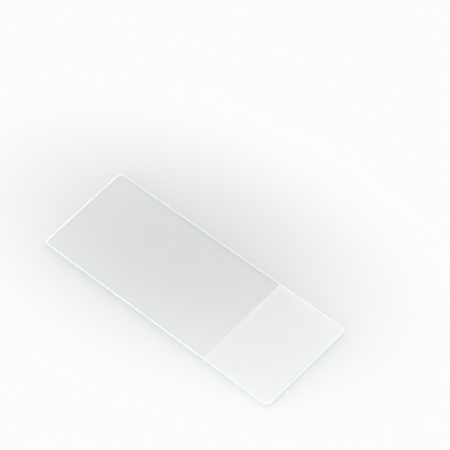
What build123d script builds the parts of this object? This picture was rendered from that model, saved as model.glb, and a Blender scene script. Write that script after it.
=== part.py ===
from build123d import *
import os

# A microscope slide: one strip of clear soda-lime glass with ground edges, cut corners and one
# frosted end. Millimetres. The strip lies on its underside at z = 0, with the origin under its
# centre, +X towards the frosted end and +Z out of the face that carries the specimen.

# ---- Driving dimensions ----
slide_length = 76.0
slide_width = 26.0
glass_thickness = 1.1
corner_cut = 0.8        # leg of the 45 degree cut at each of the four upright corners
edge_bevel = 0.25       # leg of the 45 degree bevel ground round the rim of both faces
frosted_length = 21.0   # from the end of the strip back to the frost line
frost_depth = 0.02      # glass that the frosting takes off the upper face

with BuildPart() as glass_slide:
    # The blank: a strip cut from sheet glass, with its four corners taken off
    with BuildSketch() as blank_outline:
        Rectangle(slide_length, slide_width)
        chamfer(blank_outline.vertices(), length=corner_cut)
    extrude(amount=glass_thickness)

    # Ground edges: both faces end in a fine bevel, along the sides, the ends and the cut corners
    flat_faces = glass_slide.faces().filter_by(Axis.Z)
    chamfer(flat_faces.edges(), length=edge_bevel)

    # Frosted end: the upper face is ground away evenly, from the frost line out to the bevels
    with BuildSketch(Plane.XY.offset(glass_thickness)) as frosted_field:
        with Locations((slide_length / 2, 0)):
            Rectangle(frosted_length, slide_width, align=(Align.MAX, Align.CENTER))
    extrude(amount=-frost_depth, mode=Mode.SUBTRACT)

glass_slide.part.label = "glass_slide"

os.makedirs("parts", exist_ok=True)
export_step(glass_slide.part, "parts/glass_slide.step")
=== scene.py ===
import math
from collections import namedtuple

import bmesh
import bpy
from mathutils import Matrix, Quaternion, Vector

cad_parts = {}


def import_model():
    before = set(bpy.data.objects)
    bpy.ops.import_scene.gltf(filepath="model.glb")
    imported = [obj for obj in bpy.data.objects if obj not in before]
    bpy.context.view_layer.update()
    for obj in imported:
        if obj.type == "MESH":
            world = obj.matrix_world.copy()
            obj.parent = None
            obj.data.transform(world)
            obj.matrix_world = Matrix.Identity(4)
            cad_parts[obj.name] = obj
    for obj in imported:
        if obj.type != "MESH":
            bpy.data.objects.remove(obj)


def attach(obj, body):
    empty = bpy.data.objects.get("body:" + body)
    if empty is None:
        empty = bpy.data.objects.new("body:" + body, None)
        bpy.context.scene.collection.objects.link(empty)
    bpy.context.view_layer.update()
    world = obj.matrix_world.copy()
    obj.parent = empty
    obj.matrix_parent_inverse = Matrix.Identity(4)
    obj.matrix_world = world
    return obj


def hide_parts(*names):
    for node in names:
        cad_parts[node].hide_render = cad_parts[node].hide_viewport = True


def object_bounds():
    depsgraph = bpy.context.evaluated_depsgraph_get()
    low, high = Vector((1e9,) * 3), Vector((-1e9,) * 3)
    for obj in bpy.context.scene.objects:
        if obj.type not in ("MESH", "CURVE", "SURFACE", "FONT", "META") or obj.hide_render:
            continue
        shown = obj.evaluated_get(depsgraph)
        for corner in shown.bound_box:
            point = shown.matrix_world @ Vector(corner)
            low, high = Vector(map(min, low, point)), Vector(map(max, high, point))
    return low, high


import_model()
cad_low, cad_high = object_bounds()

# One microscope slide on a pale floor. Metres, in the frame of the CAD model: the strip lies on
# its underside at z = 0, +X runs towards the frosted end and +Z out of the upper face.

MM = 0.001

# ---- The slide's own sizes, as in the CAD model ----
CORNER_CUT = 0.8 * MM
EDGE_BEVEL = 0.25 * MM
FROSTED_LENGTH = 21.0 * MM
FROST_DEPTH = 0.02 * MM

# ---- Small rounding that grinding leaves, drawn here only ----
CORNER_ROUND = 0.3 * MM         # upright corners of the outline, more than the bevel takes off
ARRIS_ROUND = 0.03 * MM         # where the bevels meet the faces and the sides
ARC_STEPS = 6
TURN = math.radians(45)         # every corner of the outline and of the rim turns by this angle
CUT_NORMAL = math.radians(-135)         # of the corner cut that the outline starts at
UNDERSIDE_NORMAL = math.radians(-90)    # of the face that the rim's section starts at

# ---- Finishes ----
# clarity is the share of light that passes as through clear glass. through is the share that a
# ground surface lets past it scattered, as seen from inside the glass. mottle and streak are how
# far fine grain and grinding marks change the colour. The last field is the colour as seen from
# outside: the glass's own on the clear and frosted faces, and on the rim partly painted shade and
# a painted teal for light that comes out of the glass through the ground faces.
Finish = namedtuple("Finish", "clarity roughness through mottle streak tint")
CLEAR = Finish(1.0, 0.0, 0.0, 0.0, 0.0, (0.986, 0.985, 0.985))
FROSTED = Finish(0.35, 0.3, 0.0, 0.08, 0.0, (0.957, 0.943, 0.945))
# Seen from outside, the rim is darker and more teal towards the side than on the upper bevel:
# painted shade, and a painted teal that stands in for light coming out of the glass.
UPPER_BEVEL = Finish(0.0, 0.4, 0.1, 0.0, 0.04, (0.905, 0.903, 0.903))
LOWER_BEVEL = Finish(0.0, 0.4, 1.0, 0.0, 0.04, (0.80, 0.86, 0.855))
SIDE = Finish(0.0, 0.4, 1.0, 0.0, 0.04, (0.66, 0.775, 0.77))
INSIDE_COLOR = (0.99, 0.986, 0.986, 1)  # every face, as seen from inside the glass
OUTSIDE_THROUGH = 0.1           # this much of through is left for a ground face seen from outside

# ---- Glass ----
GLASS_IOR = 1.52
DEPTH_COLOR = (0.45, 0.87, 0.86, 1)    # what long paths through the glass turn to
DEPTH_DENSITY = 15.0            # how fast they do, per metre
CLOUD_SIZE = 3.5 * MM           # soft patches in the frosting
GRAIN_SIZE = 0.12 * MM
STREAK_LENGTH = 4 * MM
STREAK_HEIGHT = 0.04 * MM
NOISE_DETAIL = 3.0              # each noise has this many finer ones added
RELIEF = 0.05 * MM              # how deep a mottle or streak of 1 would be

# ---- Floor ----
FLOOR_SIZE = 3.0
FLOOR_GAP = 0.03 * MM           # the floor lies this far below the glass
# The floor's colour is darker in a soft oval round the slide: painted shade, not a shadow cast by
# anything in the scene.
SHADE_COLOR = (0.77, 0.77, 0.77, 1)
FLOOR_COLOR = (0.955, 0.955, 0.955, 1)
WHITE = (0.975, 0.975, 0.975, 1)
SHADE_AT = (-10 * MM, 7.5 * MM, 0)
SHADE_TURN = math.radians(10)
SHADE_STRETCH = (1, 1.9, 1)     # the painted-shade oval is this much narrower across than along
SHADE_INNER = 8 * MM            # full painted shade up to here
SHADE_OUTER = 73 * MM           # and none from here on
PLAIN_INNER = 61 * MM           # from here on the floor turns to plain white
PLAIN_OUTER = 81 * MM

# ---- Light ----
DOME = 0.865
BAND = 1.4
BAND_TOP = 0.5                  # where the bright band ends, as the sine of its elevation
BAND_LEAN = (-0.4, -0.2, 0)     # the band is brighter on this side
KEY_AT = (0.12, 0.5, 0.42)
KEY_SIZE = 0.35
KEY_POWER = 0.35

# ---- Camera ----
LENS = 200.0
VIEW_ELEVATION = math.radians(51.63)
VIEW_AZIMUTH = math.radians(-31.0)
VIEW_ROLL = math.radians(-17.92)
VIEW_DISTANCE = 0.5922
VIEW_AIM = Vector((-0.0063, 0.01756, 0.0))

# ---- How often light may bounce ----
GLASS_BOUNCES = 64              # it goes to and fro many times between the ground edges
SCATTER_BOUNCES = 16
SURE_BOUNCES = 32               # ending paths sooner would leave grain in the thin edges


def place(piece):
    bpy.context.collection.objects.link(piece)
    return piece


# ---- Node helpers ----

def empty_tree(owner):
    """The node tree of a material or a world, with nothing in it."""
    owner.use_nodes = True
    owner.node_tree.nodes.clear()
    return owner.node_tree


def add_node(tree, kind, inputs, **settings):
    """A new shader node. Each input is given a value, or is linked to a socket."""
    node = tree.nodes.new("ShaderNode" + kind)
    for name, value in settings.items():
        setattr(node, name, value)
    for key, value in inputs.items():
        if isinstance(value, bpy.types.NodeSocket):
            tree.links.new(value, node.inputs[key])
        else:
            node.inputs[key].default_value = value
    return node


def calculate(tree, operation, *values, **settings):
    inputs = dict(enumerate(values))
    return add_node(tree, "Math", inputs, operation=operation, **settings).outputs[0]


def calculate_vectors(tree, operation, *vectors, output="Vector"):
    inputs = dict(enumerate(vectors))
    return add_node(tree, "VectorMath", inputs, operation=operation).outputs[output]


def ramp(tree, value, low, high, start=0.0, end=1.0):
    """Goes smoothly from start to end while value goes from low to high."""
    inputs = {
        "Value": value, "From Min": low, "From Max": high, "To Min": start, "To Max": end,
    }
    return add_node(tree, "MapRange", inputs, interpolation_type="SMOOTHSTEP").outputs[0]


def mix_colors(tree, share, first, second):
    """The Mix node has its colours at inputs 6 and 7, and their mix at output 2."""
    return add_node(tree, "Mix", {0: share, 6: first, 7: second}, data_type="RGBA").outputs[2]


def mix_shaders(tree, share, first, second):
    return add_node(tree, "MixShader", {0: share, 1: first, 2: second}).outputs[0]


def noise(tree, position, sizes):
    """Noise from about -1 to 1 whose features have the given sizes along X, Y and Z."""
    scale = tuple(1 / size for size in sizes)
    scaled = calculate_vectors(tree, "MULTIPLY", position, scale)
    inputs = {"Vector": scaled, "Scale": 1.0, "Detail": NOISE_DETAIL}
    value = add_node(tree, "TexNoise", inputs).outputs[0]
    return calculate(tree, "MULTIPLY_ADD", value, 2.0, -1.0)


def seen_directly(tree):
    """1 for a ray by which the camera sees, also through clear glass or in a reflection, and 0 for
    a ray that carries light."""
    ray = add_node(tree, "LightPath", {}).outputs
    seen = calculate(tree, "MAXIMUM", ray["Is Camera Ray"], ray["Is Glossy Ray"])
    seen = calculate(tree, "MAXIMUM", seen, ray["Is Transmission Ray"])
    seen = calculate(tree, "SUBTRACT", seen, ray["Is Diffuse Ray"], use_clamp=True)
    unscattered = calculate(tree, "LESS_THAN", ray["Diffuse Depth"], 0.5)
    return calculate(tree, "MULTIPLY", seen, unscattered)


# ---- The slide ----

def rounded(corner, start, radius, shrink=0.0):
    """Points of an arc that rounds a corner between two sides. The first side's normal points to
    start, and the second's to start + TURN. shrink draws the arc that much further in."""
    middle = start + TURN / 2
    reach = radius / math.cos(TURN / 2)
    center = (corner[0] - reach * math.cos(middle), corner[1] - reach * math.sin(middle))
    size = radius - shrink
    angles = [start + TURN * step / ARC_STEPS for step in range(ARC_STEPS + 1)]
    return [(center[0] + size * math.cos(a), center[1] + size * math.sin(a)) for a in angles]


FROSTED_CORNERS = 4             # corners of the outline at the frosted end
NEAR_LINE = ARC_STEPS + 1       # the outline's point at the near end of the frost line
FAR_LINE = NEAR_LINE + 1 + FROSTED_CORNERS * (ARC_STEPS + 1)


def outline(inset):
    """The strip's outline, moved in by inset, anticlockwise from the near long side's clear end.
    One more point on each long side marks an end of the frost line."""
    half_length, half_width = cad_high[0], cad_high[1]
    long_x, long_y = half_length - CORNER_CUT, half_width
    end_x, end_y = half_length, half_width - CORNER_CUT
    frost_x = half_length - FROSTED_LENGTH
    corners = [
        (-long_x, -long_y), (long_x, -long_y), (end_x, -end_y), (end_x, end_y),
        (long_x, long_y), (-long_x, long_y), (-end_x, end_y), (-end_x, -end_y),
    ]
    arcs = []
    for i, corner in enumerate(corners):
        start = CUT_NORMAL + i * TURN
        arcs.append(rounded(corner, start, CORNER_ROUND, shrink=inset))
    near_line = [(frost_x, inset - half_width)]
    far_line = [(frost_x, half_width - inset)]
    frosted_arcs = arcs[1:1 + FROSTED_CORNERS]
    clear_arcs = arcs[1 + FROSTED_CORNERS:]
    parts = arcs[:1] + [near_line] + frosted_arcs + [far_line] + clear_arcs
    return [point for part in parts for point in part]


def rim_profile():
    """Section of the rim as points (inset, height): up to the frosted face, and above that."""
    top = cad_high[2]
    corners = [(-EDGE_BEVEL, 0.0), (0.0, EDGE_BEVEL), (0.0, top - EDGE_BEVEL), (-EDGE_BEVEL, top)]
    arcs = []
    for i, corner in enumerate(corners):
        start = UNDERSIDE_NORMAL + i * TURN
        arcs.append([(-out, z) for out, z in rounded(corner, start, ARRIS_ROUND)])
    frosted_rim = (EDGE_BEVEL - FROST_DEPTH, top - FROST_DEPTH)
    return arcs[0] + arcs[1] + arcs[2] + [frosted_rim], arcs[3]


def rim_finish(z):
    """The finish of a face of the rim whose middle is at this height."""
    if z < EDGE_BEVEL:
        return LOWER_BEVEL
    if z > cad_high[2] - EDGE_BEVEL:
        return UPPER_BEVEL
    return SIDE


def rim_faces(rings, frosted_ring, clear_points):
    """The faces between the rings, with their finishes. Above frosted_ring only the clear part has
    any."""
    count = len(rings[0])
    for k in range(len(rings) - 1):
        points = range(count) if k < frosted_ring else clear_points[:-1]
        finish = rim_finish((rings[k][0].co.z + rings[k + 1][0].co.z) / 2)
        for i in points:
            j = (i + 1) % count
            yield (rings[k][i], rings[k][j], rings[k + 1][j], rings[k + 1][i]), finish


def flat_faces(rings, frosted_ring, clear_points):
    """The underside, the clear and the frosted face, and the small step between the two."""
    frosted_points = range(NEAR_LINE, FAR_LINE + 1)
    yield list(reversed(rings[0])), CLEAR
    yield [rings[-1][i] for i in clear_points], CLEAR
    yield [rings[frosted_ring][i] for i in frosted_points], FROSTED
    step_down = [ring[NEAR_LINE] for ring in reversed(rings[frosted_ring:])]
    step_up = [ring[FAR_LINE] for ring in rings[frosted_ring:]]
    yield step_down + step_up, FROSTED


def slide_mesh():
    """The slide as one closed mesh, whose faces carry their finishes as attributes."""
    mesh = bmesh.new()
    kinds = mesh.faces.layers
    layers = {name: kinds.float.new(name) for name in Finish._fields[:-1]}
    layers["tint"] = kinds.float_vector.new("tint")

    lower, crown = rim_profile()
    rings = []
    for inset, z in lower + crown:
        rings.append([mesh.verts.new((x, y, z)) for x, y in outline(inset)])
    count = len(rings[0])
    clear_points = [i % count for i in range(FAR_LINE, count + NEAR_LINE + 1)]
    frosted_ring = len(lower) - 1

    faces = [
        *rim_faces(rings, frosted_ring, clear_points),
        *flat_faces(rings, frosted_ring, clear_points),
    ]
    for points, finish in faces:
        face = mesh.faces.new(points)
        for name, value in finish._asdict().items():
            face[layers[name]] = value

    bmesh.ops.recalc_face_normals(mesh, faces=mesh.faces)
    data = bpy.data.meshes.new("slide_glass")
    mesh.to_mesh(data)
    mesh.free()
    return data


def ground_texture(tree, finish):
    """Adds grain, grinding marks and soft patches to a finish: its normal, tint and clarity."""
    position = add_node(tree, "TexCoord", {}).outputs["Object"]
    cloud = noise(tree, position, (CLOUD_SIZE,) * 3)
    grain = noise(tree, position, (GRAIN_SIZE,) * 3)
    streaks = noise(tree, position, (STREAK_LENGTH, STREAK_LENGTH, STREAK_HEIGHT))

    relief = calculate(tree, "MULTIPLY", grain, finish["mottle"])
    relief = calculate(tree, "MULTIPLY_ADD", streaks, finish["streak"], relief)
    normal = add_node(tree, "Bump", {"Height": relief, "Distance": RELIEF}).outputs[0]
    # The colour goes with the relief: darker where it is low, lighter where it is high.
    shade = calculate(tree, "ADD", relief, 1.0)
    scaled = {0: finish["tint"], "Scale": shade}
    tint = add_node(tree, "VectorMath", scaled, operation="SCALE").outputs[0]
    patches = calculate(tree, "MULTIPLY", cloud, finish["mottle"])
    clarity = calculate(tree, "ADD", finish["clarity"], patches)
    return normal, tint, clarity


def glass_material():
    """Clear glass, with ground bevels and sides and a frosted field. One material holds them all,
    because glass that absorbs light has to be closed by a single one."""
    material = bpy.data.materials.new("slide_glass")
    tree = empty_tree(material)

    finish = {}
    for name in Finish._fields:
        attribute = add_node(tree, "Attribute", {}, attribute_name=name)
        finish[name] = attribute.outputs["Vector" if name == "tint" else "Fac"]
    normal, tint, clarity = ground_texture(tree, finish)

    inside = add_node(tree, "NewGeometry", {}).outputs["Backfacing"]
    # From outside a face shows its listed colour, on the rim partly painted shade and painted
    # light from inside the glass; from inside every face shows INSIDE_COLOR.
    color = mix_colors(tree, inside, tint, INSIDE_COLOR)
    share = ramp(tree, inside, 0.0, 1.0, start=OUTSIDE_THROUGH)
    through = calculate(tree, "MULTIPLY", finish["through"], share)

    surface = add_node(tree, "BsdfPrincipled", {
        "Base Color": color,
        "Roughness": finish["roughness"],
        "IOR": GLASS_IOR,
        "Transmission Weight": clarity,
        "Normal": normal,
    }).outputs[0]
    glow = add_node(tree, "BsdfTranslucent", {"Color": color, "Normal": normal}).outputs[0]
    absorption = {"Color": DEPTH_COLOR, "Density": DEPTH_DENSITY}
    depth = add_node(tree, "VolumeAbsorption", absorption).outputs[0]
    add_node(tree, "OutputMaterial", {
        "Surface": mix_shaders(tree, through, surface, glow),
        "Volume": depth,
    })
    return material


def glass_slide():
    slide = place(bpy.data.objects.new("slide_glass", slide_mesh()))
    slide.data.materials.append(glass_material())
    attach(slide, "root")
    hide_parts("glass_slide")


# ---- The stage ----

def shade_distance(tree):
    """Distance from the middle of the painted-shade oval, which counts for more across it than
    along.
    """
    position = add_node(tree, "TexCoord", {}).outputs["Object"]
    offset = calculate_vectors(tree, "SUBTRACT", position, SHADE_AT)
    turn = {"Vector": offset, "Angle": -SHADE_TURN}
    turned = add_node(tree, "VectorRotate", turn, rotation_type="Z_AXIS").outputs[0]
    oval = calculate_vectors(tree, "MULTIPLY", turned, SHADE_STRETCH)
    return calculate_vectors(tree, "LENGTH", oval, output="Value")


def floor_material():
    """Pale, with a soft oval of painted shade in its colour, the slide's own cast shadow, and
    plain white further out.
    """
    material = bpy.data.materials.new("floor")
    tree = empty_tree(material)
    distance = shade_distance(tree)
    shade = ramp(tree, distance, SHADE_INNER, SHADE_OUTER)
    color = mix_colors(tree, shade, SHADE_COLOR, FLOOR_COLOR)
    plain = ramp(tree, distance, PLAIN_INNER, PLAIN_OUTER)
    share = calculate(tree, "MULTIPLY", plain, seen_directly(tree))
    pale = add_node(tree, "BsdfDiffuse", {"Color": color}).outputs[0]
    white = add_node(tree, "Emission", {"Color": WHITE}).outputs[0]
    add_node(tree, "OutputMaterial", {"Surface": mix_shaders(tree, share, pale, white)})
    return material


def floor():
    data = bpy.data.meshes.new("floor")
    half = FLOOR_SIZE / 2
    corners = [(-half, -half), (half, -half), (half, half), (-half, half)]
    data.from_pydata([(x, y, -FLOOR_GAP) for x, y in corners], [], [(0, 1, 2, 3)])
    data.materials.append(floor_material())
    place(bpy.data.objects.new("floor", data))


def world():
    """A soft dome with a brighter band low down, so that upright edges are lit as well as flat
    faces. What looks at it directly sees plain white."""
    sky = bpy.data.worlds.new("world")
    bpy.context.scene.world = sky
    tree = empty_tree(sky)
    direction = add_node(tree, "TexCoord", {}).outputs["Generated"]
    height = add_node(tree, "SeparateXYZ", {0: direction}).outputs["Z"]
    band = ramp(tree, height, 0.0, BAND_TOP, start=BAND, end=0.0)
    lean = calculate_vectors(tree, "DOT_PRODUCT", direction, BAND_LEAN, output="Value")
    side = calculate(tree, "ADD", lean, 1.0)
    strength = calculate(tree, "MULTIPLY_ADD", band, side, DOME)
    dome = {"Color": (1, 1, 1, 1), "Strength": strength}
    light = add_node(tree, "Background", dome).outputs[0]
    white = add_node(tree, "Background", {"Color": WHITE}).outputs[0]
    shown = mix_shaders(tree, seen_directly(tree), light, white)
    add_node(tree, "OutputWorld", {"Surface": shown})


def key_lamp():
    data = bpy.data.lights.new("key", "AREA")
    data.size = KEY_SIZE
    data.energy = KEY_POWER
    lamp = place(bpy.data.objects.new("key", data))
    lamp.location = KEY_AT
    lamp.rotation_euler = Vector(KEY_AT).to_track_quat("Z", "Y").to_euler()


def camera():
    data = bpy.data.cameras.new("camera")
    data.lens = LENS
    eye = place(bpy.data.objects.new("camera", data))
    towards = Vector((
        math.cos(VIEW_ELEVATION) * math.cos(VIEW_AZIMUTH),
        math.cos(VIEW_ELEVATION) * math.sin(VIEW_AZIMUTH),
        math.sin(VIEW_ELEVATION),
    ))
    eye.location = VIEW_AIM + towards * VIEW_DISTANCE
    eye.rotation_mode = "QUATERNION"
    eye.rotation_quaternion = towards.to_track_quat("Z", "Y") @ Quaternion((0, 0, 1), VIEW_ROLL)
    bpy.context.scene.camera = eye


def render_settings():
    scene = bpy.context.scene
    scene.view_settings.view_transform = "Standard"
    scene.cycles.max_bounces = GLASS_BOUNCES
    scene.cycles.transmission_bounces = GLASS_BOUNCES
    scene.cycles.diffuse_bounces = SCATTER_BOUNCES
    scene.cycles.glossy_bounces = SCATTER_BOUNCES
    scene.cycles.min_light_bounces = SURE_BOUNCES
    scene.cycles.blur_glossy = 0.0      # blurring would darken the floor under the glass


glass_slide()
floor()
world()
key_lamp()
camera()
render_settings()
